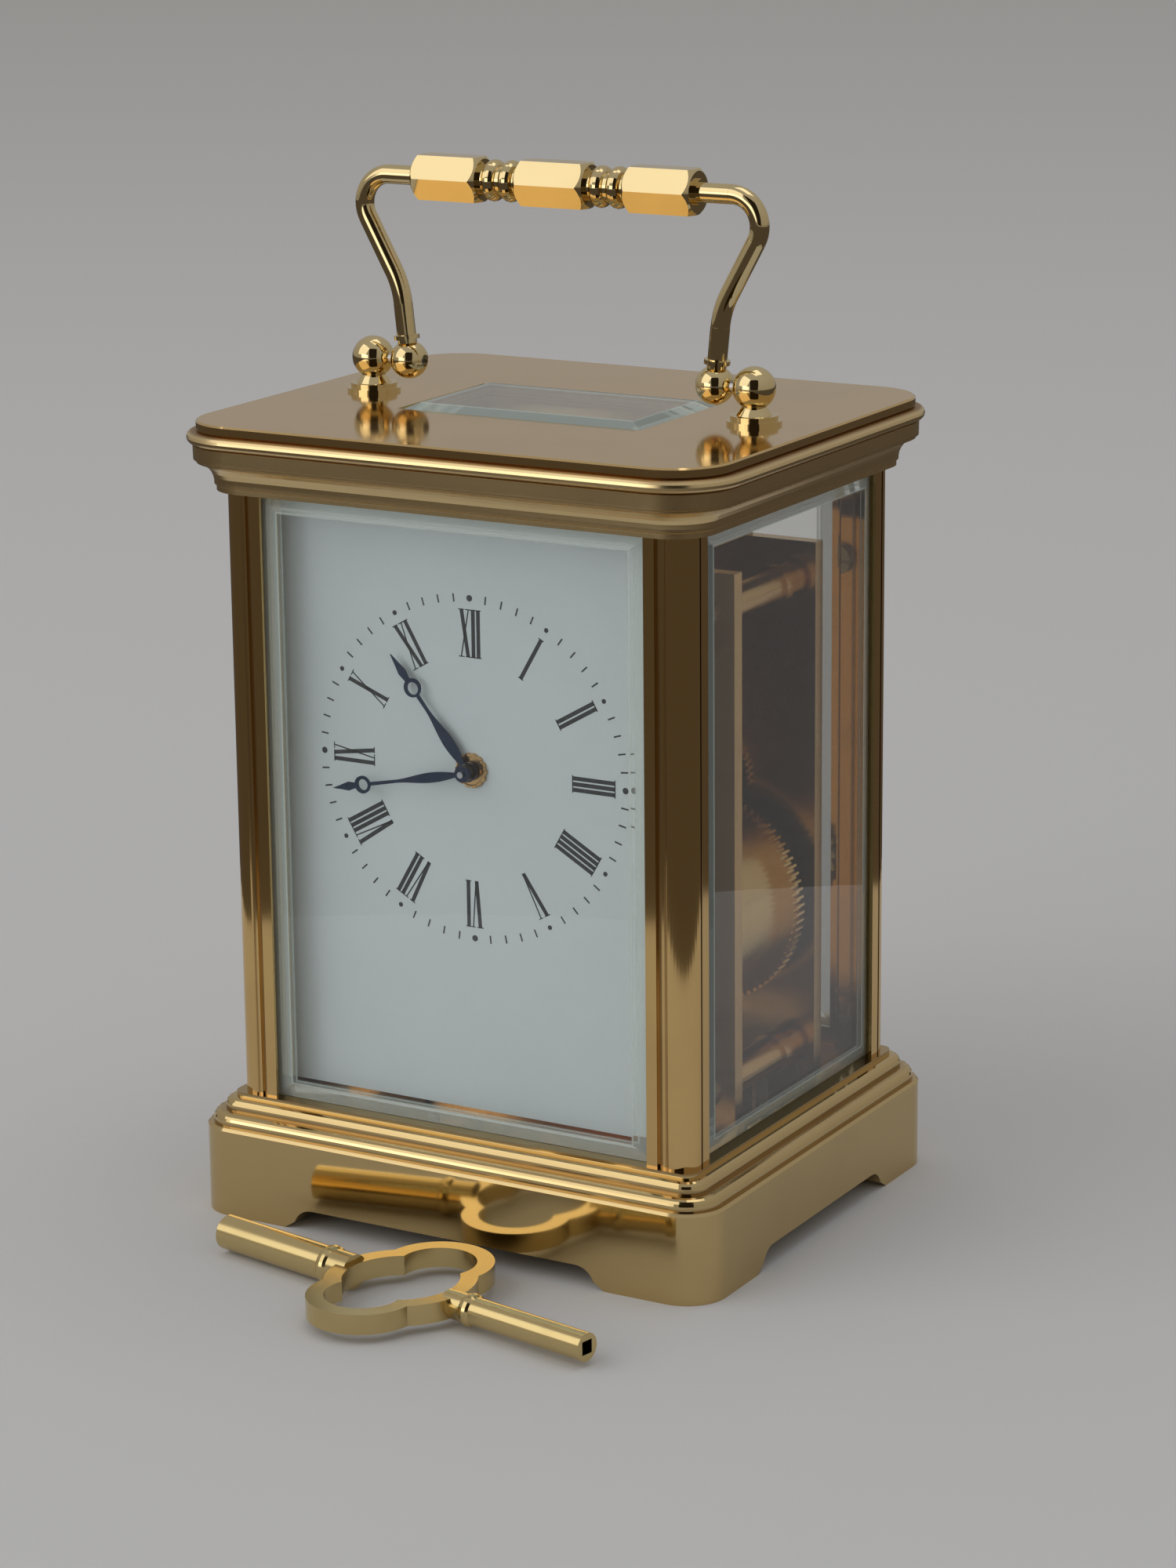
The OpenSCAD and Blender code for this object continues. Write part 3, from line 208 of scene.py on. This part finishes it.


# Glass: clear sheet with a faint green body; lamps shine through it. A diffuse layer mixes in a light film of
# dust plus painted light on the bevel: a pale band where the distance to the nearest edge, tested against the
# bevel's width, falls inside the bevel, and a painted highlight line where the bevel meets the flat.
def paneGlass(name, look, node, across, up, tucked=0.0):
    r = Recipe(name)
    points = np.empty(len(nodes[node].data.vertices) * 3)
    nodes[node].data.vertices.foreach_get("co", points)
    low, high = points.reshape(-1, 3).min(0), points.reshape(-1, 3).max(0)
    axes = (r.x, r.y, r.z)
    inX, inY = ((high[k] - low[k]) / 2 - abs(axes[k] - (high[k] + low[k]) / 2) for k in (across, up))
    inside = r.calc("MINIMUM", inX - tucked * mm, inY)
    width = look["bevel"] * mm
    soft = look["soft"] * mm
    # Painted light on the bevel: a pale band over its width and a highlight line where it meets the flat
    paintedBevelBand = r.ramp(inside, width + soft, width - soft) * look["paintedBevelBand"]
    arrisHighlight = r.band(inside, width, look["arrisHalf"] * mm) * look["arrisHighlight"]
    film = r.ramp(r.noise(45.0, 4.0, 0.65), 0.5, 0.85) * look["film"]
    body = r.add("ShaderNodeBsdfPrincipled", inputs={"Base Color": look["colour"], "Transmission Weight": 1.0,
                                                     "IOR": 1.5, "Roughness": 0.0})
    dustAndBevelLight = r.add("ShaderNodeBsdfDiffuse", inputs={"Color": look["edge"]})
    dustAndBevelLightMix = r.add("ShaderNodeMixShader", inputs={0: (film + paintedBevelBand + arrisHighlight).clamp(), 1: body.outputs[0],
                                                 2: dustAndBevelLight.outputs[0]})
    clear = r.add("ShaderNodeBsdfTransparent", inputs={"Color": look["colour"]})
    path = r.add("ShaderNodeLightPath")
    mixed = r.add("ShaderNodeMixShader", inputs={0: path.outputs["Is Shadow Ray"], 1: dustAndBevelLightMix.outputs[0],
                                                 2: clear.outputs[0]})
    r.feed(r.output.inputs[0], mixed.outputs[0])
    return r.material


# The bevel-band and arris amounts are painted light: a pale band and a highlight line on each bevel
glassLook = {"colour": rgb(0.97, 0.985, 0.98), "film": 0.004, "edge": rgb(0.62, 0.70, 0.66), "bevel": 2.4,
             "soft": 0.1, "paintedBevelBand": 0.3, "arrisHighlight": 0.45, "arrisHalf": 0.22}


# Enamel: cool white lacquer with a very slow change of tone and a soft gloss
def enamel(name, look):
    r = Recipe(name)
    slow = r.noise(25.0, 3.0, 0.6)
    grain = r.noise(1800.0, 2.0, 0.5)
    r.principled({"Base Color": r.blend(r.ramp(slow, 0.3, 0.75), look["colour"], look["shade"]),
                  "Roughness": (look["rough"] + slow * 0.1).clamp(),
                  "Normal": r.bump(grain, 0.03, scratchDepth), "Specular IOR Level": 0.4})
    return r.material


dialLook = {"colour": rgb(0.63, 0.69, 0.71), "shade": rgb(0.58, 0.64, 0.66), "rough": 0.42}


def ink(name, colour):
    r = Recipe(name)
    wear = r.noise(2200.0, 3.0, 0.6)
    r.principled({"Base Color": r.blend(r.ramp(wear, 0.5, 0.9), colour, rgb(0.05, 0.055, 0.06)),
                  "Roughness": (0.4 + wear * 0.2).clamp()})
    return r.material


finishes = {
    "base": brass("satinAndPolishedBrass", baseLook), "cornice": brass("corniceBrass", corniceLook),
    "pillar": brass("pillarBrass", pillarLook), "plate": brass("topPlateBrass", plateLook),
    "handle": brass("handleBrass", handleLook), "key": brass("keyBrass", keyLook),
    "works": brass("movementBrass", workLook), "wheels": brass("wheelBrass", wheelLook),
    "gilt": brass("giltBrass", giltLook),
    "frontGlass": paneGlass("frontPane", glassLook, "front_glass", 0, 2, 1.1),
    "sideGlass": paneGlass("sidePane", glassLook, "right_glass", 1, 2, 1.1),
    "doorGlass": paneGlass("doorPane", glassLook, "door_glass", 0, 2),
    # The top pane gets a stronger painted pale band on its bevel
    "topGlass": paneGlass("topPane", {**glassLook, "paintedBevelBand": 0.5}, "top_glass", 0, 1),
    "dial": enamel("dialEnamel", dialLook), "ink": ink("dialInk", rgb(0.012, 0.014, 0.018)),
    "blued": steel("bluedSteel", rgb(0.022, 0.040, 0.075), rgb(0.035, 0.045, 0.085), 0.2),
    "steel": steel("brightSteel", rgb(0.52, 0.53, 0.55), rgb(0.4, 0.4, 0.42), 0.24),
    "screws": steel("screwSteel", rgb(0.4, 0.4, 0.42), rgb(0.28, 0.27, 0.27), 0.3),
}
wears = {
    "base": ["base"], "cornice": ["cornice"], "plate": ["top_plate"],
    "pillar": ["pillar_front_left", "pillar_front_right", "pillar_rear_left", "pillar_rear_right",
               "door_frame"],
    "handle": ["handle_post_left", "handle_post_right", "handle_arm_left", "handle_arm_right",
               "handle_grip", "door_knob"],
    "key": ["key"], "topGlass": ["top_glass"], "frontGlass": ["front_glass"],
    "sideGlass": ["left_glass", "right_glass"], "doorGlass": ["door_glass"],
    "dial": ["dial"],
    "blued": ["minute_hand", "hour_hand", "hairspring", "platform_screws", "click_spring"],
    "works": ["front_plate", "rear_plate", "movement_pillars", "dial_feet", "dial_bush"],
    "wheels": ["barrel", "barrel_cover", "intermediate_wheel", "centre_wheel", "third_wheel",
               "contrate_wheel", "minute_wheel", "hour_wheel"],
    "gilt": ["platform", "potence", "escape_wheel", "escape_bridge", "balance_wheel", "balance_cock"],
    "steel": ["handle_pins", "door_pins", "cannon_pinion", "centre_arbor", "barrel_arbor",
              "ratchet_wheel", "click", "lever", "regulator", "mainspring"],
    "screws": ["base_screws", "cornice_screws", "handle_post_nuts", "pillar_screws", "movement_screws"],
}
for finish, names in wears.items():
    for name in names:
        for place in nodes[name].material_slots:
            place.material = finishes[finish]
assert sum(len(names) for names in wears.values()) == len(nodes)
print("finishes on every node")


# Joins points and faces into a piece that rides on a body, welded, with its normals outwards
def piece(name, points, faces, finish, body, smooth=True):
    mesh = bpy.data.meshes.new(name)
    mesh.from_pydata(np.asarray(points, float).reshape(-1, 3).tolist(), [], np.asarray(faces).tolist())
    shape = bmesh.new()
    shape.from_mesh(mesh)
    bmesh.ops.remove_doubles(shape, verts=shape.verts, dist=1e-7)
    bmesh.ops.recalc_face_normals(shape, faces=shape.faces)
    shape.to_mesh(mesh)
    shape.free()
    mesh.polygons.foreach_set("use_smooth", np.full(len(mesh.polygons), smooth))
    mesh.materials.append(finishes[finish])
    made = linked(name, mesh)
    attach(made, body)
    return made


# Quads between neighbouring rows and columns of a grid; a wrapped side joins back to its start
def gridFaces(rows, columns, wrapRows=False, wrapColumns=False):
    index = np.arange(rows * columns).reshape(rows, columns)
    if wrapColumns:
        index = np.concatenate([index, index[:, :1]], 1)
    if wrapRows:
        index = np.concatenate([index, index[:1]], 0)
    return np.stack([index[:-1, :-1], index[:-1, 1:], index[1:, 1:], index[1:, :-1]], -1).reshape(-1, 4)


# Thin four-sided blocks: outlines are (count, 4, 2) across and up, lifted between two depths
def prisms(outlines, front, back):
    outlines = np.asarray(outlines, float)
    count = len(outlines)
    points = np.empty((count, 8, 3))
    points[:, :4, 0] = points[:, 4:, 0] = outlines[:, :, 0]
    points[:, :4, 2] = points[:, 4:, 2] = outlines[:, :, 1]
    points[:, :4, 1], points[:, 4:, 1] = front, back
    block = np.array([[0, 1, 2, 3], [7, 6, 5, 4], [0, 4, 5, 1], [1, 5, 6, 2], [2, 6, 7, 3], [3, 7, 4, 0]])
    return points.reshape(-1, 3), (block[None] + 8 * np.arange(count)[:, None, None]).reshape(-1, 4)


# A slanted stroke between two points, with its ends cut level, of the given width across
def stroke(low, high, width):
    (x0, y0), (x1, y1), half = low, high, width / 2
    return [[x0 - half, y0], [x0 + half, y0], [x1 + half, y1], [x1 - half, y1]]


dialPrint = {"centreUp": 67.6, "ring": 24.0, "inner": 15.75, "outer": 22.45, "thick": 0.58, "thin": 0.19,
             "serif": 0.14, "advance": 0.8, "slantWidth": 1.85, "serifPast": 0.12, "thickIn": 0.42,
             "thinIn": 0.3, "thinFoot": 0.1, "crossIn": 0.38, "thickSerif": 1.0, "thinSerif": 0.7,
             "crossSerif": 0.9, "dash": (1.15, 0.23), "dot": 0.34, "quarterDot": 0.45,
             "face": -24.0, "lift": 0.02, "sunk": 0.01}


# Strokes of one Roman numeral, standing up from 0 with its middle at 0 across
def numeralStrokes(word, look):
    height = look["outer"] - look["inner"]
    thick, thin, serif = look["thick"], look["thin"], look["serif"]
    thickIn, thinIn, crossIn = look["thickIn"], look["thinIn"], look["crossIn"]
    widths = [look["advance"] if letter == "I" else look["slantWidth"] for letter in word]
    left, made = -sum(widths) / 2, []
    for letter, width in zip(word, widths):
        middle, right = left + width / 2, left + width
        if letter == "I":
            made.append(stroke((middle, 0), (middle, height), thick))
            past = width + look["serifPast"]
            made += [stroke((middle, y), (middle, y + serif), past) for y in (0, height - serif)]
        elif letter == "V":
            made.append(stroke((middle, 0), (left + thickIn, height), thick))
            made.append(stroke((middle + look["thinFoot"], 0), (right - thinIn, height), thin))
            for across, long in ((left + thickIn, look["thickSerif"]), (right - thinIn, look["thinSerif"])):
                made.append(stroke((across, height - serif), (across, height), long))
        else:
            made.append(stroke((right - thickIn, 0), (left + thickIn, height), thick))
            made.append(stroke((left + thinIn, 0), (right - thinIn, height), thin))
            for y in (0, height - serif):
                for across in (left + crossIn, right - crossIn):
                    made.append(stroke((across, y), (across, y + serif), look["crossSerif"]))
        left = right
    return np.array(made)


# Turns flat shapes standing at a radius so that their feet face the middle of the dial
def aroundDial(shapes, radius, clockwise, look):
    angle = math.radians(clockwise)
    across = shapes[..., 0]
    out = shapes[..., 1] + radius
    return np.stack([across * math.cos(angle) + out * math.sin(angle),
                     look["centreUp"] - across * math.sin(angle) + out * math.cos(angle)], -1) * mm


hours = ["XII", "I", "II", "III", "IIII", "V", "VI", "VII", "VIII", "IX", "X", "XI"]
blocks = [aroundDial(numeralStrokes(word, dialPrint), dialPrint["inner"], 30 * i, dialPrint)
          for i, word in enumerate(hours)]
long, wide = dialPrint["dash"]
dash = np.array([stroke((0, -long / 2), (0, long / 2), wide)])
blocks += [aroundDial(dash, dialPrint["ring"], 6 * i, dialPrint) for i in range(60) if i % 5]
front = (dialPrint["face"] - dialPrint["lift"]) * mm
back = (dialPrint["face"] + dialPrint["sunk"]) * mm
points, faces = prisms(np.concatenate(blocks), front, back)
piece("dialNumerals", points, faces, "ink", "case", smooth=False)


# Round dots: rings of points at the ring's radius, closed front and back with one face each
def dots(centres, radii, front, back, sides=20):
    turn = np.linspace(0, 2 * np.pi, sides, endpoint=False)
    circle = np.stack([np.cos(turn), np.sin(turn)], -1)
    flat = centres[:, None, :] + radii[:, None, None] * circle[None]
    count = len(centres)
    points = np.empty((count, 2, sides, 3))
    points[..., 0], points[..., 2] = flat[:, None, :, 0], flat[:, None, :, 1]
    points[:, 0, :, 1], points[:, 1, :, 1] = front, back
    index = np.arange(count * 2 * sides).reshape(count, 2, sides)
    after = np.roll(index, -1, 2)
    walls = np.stack([index[:, 0], index[:, 1], after[:, 1], after[:, 0]], -1).reshape(-1, 4).tolist()
    return points.reshape(-1, 3), walls + index[:, 0].tolist() + index[:, 1, ::-1].tolist()


turns = np.radians(30.0 * np.arange(12))
centres = np.stack([np.sin(turns) * dialPrint["ring"],
                    dialPrint["centreUp"] + np.cos(turns) * dialPrint["ring"]], -1)
radii = np.where(np.arange(12) % 3 == 0, dialPrint["quarterDot"], dialPrint["dot"])
points, faces = dots(centres * mm, radii * mm, front, back)
mesh = bpy.data.meshes.new("dialDots")
mesh.from_pydata(points.tolist(), [], faces)
mesh.materials.append(finishes["ink"])
dialDots = linked("dialDots", mesh)
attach(dialDots, "case")
print("dial printed")

rimLook = {"inner": 1.93, "outer": 2.45, "proud": 0.6, "chamfer": 0.12, "notches": 14, "depth": 0.16,
           "parts": 168}


# Knurled rim of the nut that clamps the dial: a closed profile of radius and depth turned about the
# hub, with the outer radius pulled in by the notch depth wherever the wave round the rim is high
def knurledRim(look):
    turn = np.linspace(0, 2 * np.pi, look["parts"], endpoint=False)
    notch = np.clip(np.cos(turn * look["notches"]) * 3, 0, 1) * look["depth"]
    inner, outer, proud, cut = (look[key] for key in ("inner", "outer", "proud", "chamfer"))
    radius = np.array([inner, outer, outer, outer - cut, inner + cut, inner])
    depth = np.array([0.0, 0.0, proud - cut, proud, proud, proud - cut])
    pulled = radius[:, None] - notch[None] * (radius > inner + cut)[:, None]
    return np.stack([pulled * np.sin(turn)[None], dialPrint["face"] - np.repeat(depth[:, None], len(turn), 1),
                     dialPrint["centreUp"] + pulled * np.cos(turn)[None]], -1) * mm


piece("knurledRim", knurledRim(rimLook), gridFaces(6, rimLook["parts"], wrapRows=True, wrapColumns=True),
      "works", "case", smooth=False)
print("dial nut rimmed")


# A flat four-sided card facing a point; used for the floor and for what the metal reflects
def card(name, middle, size, look, facing=None):
    across, up = size[0] / 2, size[1] / 2
    mesh = bpy.data.meshes.new(name)
    corners = [(-across, -up, 0), (across, -up, 0), (across, up, 0), (-across, up, 0)]
    mesh.from_pydata(corners, [], [(0, 1, 2, 3)])
    made = linked(name, mesh)
    made.location = middle
    if facing is not None:
        made.rotation_euler = (Vector(facing) - Vector(middle)).to_track_quat("Z", "Y").to_euler()
    mesh.materials.append(look)
    return made


def paper(name, near, far):
    r = Recipe(name)
    away = r.ramp((r.x * r.x + r.y * r.y) ** 0.5, 0.2, 2.5)
    mottle = r.noise(60.0, 3.0, 0.5)
    r.principled({"Base Color": r.blend(away, near, far), "Roughness": (0.6 + mottle * 0.1).clamp(),
                  "Specular IOR Level": 0.0})
    return r.material


def glow(name, strength, colour=(1, 1, 1)):
    r = Recipe(name)
    lamp = r.add("ShaderNodeEmission", inputs={"Color": rgb(*colour), "Strength": strength})
    r.feed(r.output.inputs[0], lamp.outputs[0])
    return r.material


card("floor", (0, 0, 0), (12, 12), paper("palePaper", rgb(0.66, 0.66, 0.665), rgb(0.66, 0.65, 0.625)))


# Seen only in reflections: it is hidden from the camera, from matt surfaces, from shadows and through glass
def mirroredOnly(made):
    made.visible_camera = made.visible_diffuse = made.visible_shadow = False
    made.visible_transmission = False


# Past the edge of the table the room is dark: a flat ring round the object, two rows of points
edge = {"inner": 0.175, "outer": 1.6, "up": 0.004, "parts": 72}
turn = np.linspace(0, 2 * np.pi, edge["parts"], endpoint=False)
circle = np.stack([np.cos(turn), np.sin(turn)], -1)
ring = np.array([edge["inner"], edge["outer"]])[:, None, None] * circle[None]
ring = np.concatenate([ring, np.full((2, edge["parts"], 1), edge["up"])], -1)
mesh = bpy.data.meshes.new("tableEdge")
mesh.from_pydata(ring.reshape(-1, 3).tolist(), [], gridFaces(2, edge["parts"], wrapColumns=True).tolist())
mesh.materials.append(glow("darkRoom", 0.085, (1.0, 0.86, 0.74)))
tableEdge = linked("tableEdge", mesh)
mirroredOnly(tableEdge)
coat = glow("darkCoat", 0.02, (1.0, 0.8, 0.6))
mirroredOnly(card("onlooker", (0.46, -0.86, 0.56), (0.85, 1.1), coat, (0, 0, 0.08)))


def areaLamp(name, middle, size, power, colour=(1, 1, 1), facing=(0, 0, 0.06)):
    lamp = bpy.data.lights.new(name, "AREA")
    lamp.shape, lamp.size, lamp.size_y = "RECTANGLE", size[0], size[1]
    lamp.energy, lamp.color = power, colour
    made = linked(name, lamp)
    made.location = middle
    made.rotation_euler = (Vector(middle) - Vector(facing)).to_track_quat("Z", "Y").to_euler()
    return made


areaLamp("window", (-0.78, -1.02, 0.98), (1.5, 1.3), 5.6, (1.0, 0.99, 0.96))
areaLamp("overhead", (0.1, 0.3, 1.6), (0.9, 0.9), 2.5, (1.0, 0.98, 0.95))
areaLamp("lowFront", (-0.5, -1.5, 0.30), (1.1, 0.5), 2.6, (0.97, 0.985, 1.0))

# The room: dim at the horizon, brighter overhead, as a straight blend along the height
world = bpy.data.worlds.new("room")
world.use_nodes = True
sky = world.node_tree
height = sky.nodes.new("ShaderNodeSeparateXYZ")
sky.links.new(sky.nodes.new("ShaderNodeTexCoord").outputs["Generated"], height.inputs[0])
tone = sky.nodes.new("ShaderNodeMix")
tone.data_type = "RGBA"
tone.inputs[6].default_value, tone.inputs[7].default_value = rgb(0.36, 0.345, 0.32), rgb(0.46, 0.46, 0.47)
sky.links.new(height.outputs[2], tone.inputs[0])
sky.links.new(tone.outputs[2], sky.nodes["Background"].inputs[0])
bpy.context.scene.world = world

view = {"place": (0.2933, -0.5029, 0.2145), "turn": (75.1129, 0.5666, 29.7644), "lens": 97.42}
lens = bpy.data.cameras.new("view")
lens.lens, lens.sensor_width, lens.clip_start, lens.clip_end = view["lens"], 36.0, 0.01, 60.0
camera = linked("view", lens)
camera.location = view["place"]
camera.rotation_euler = Euler([math.radians(a) for a in view["turn"]], "XYZ")
bpy.context.scene.camera = camera
bpy.context.scene.view_settings.view_transform = "Standard"
print("stage and camera ready")
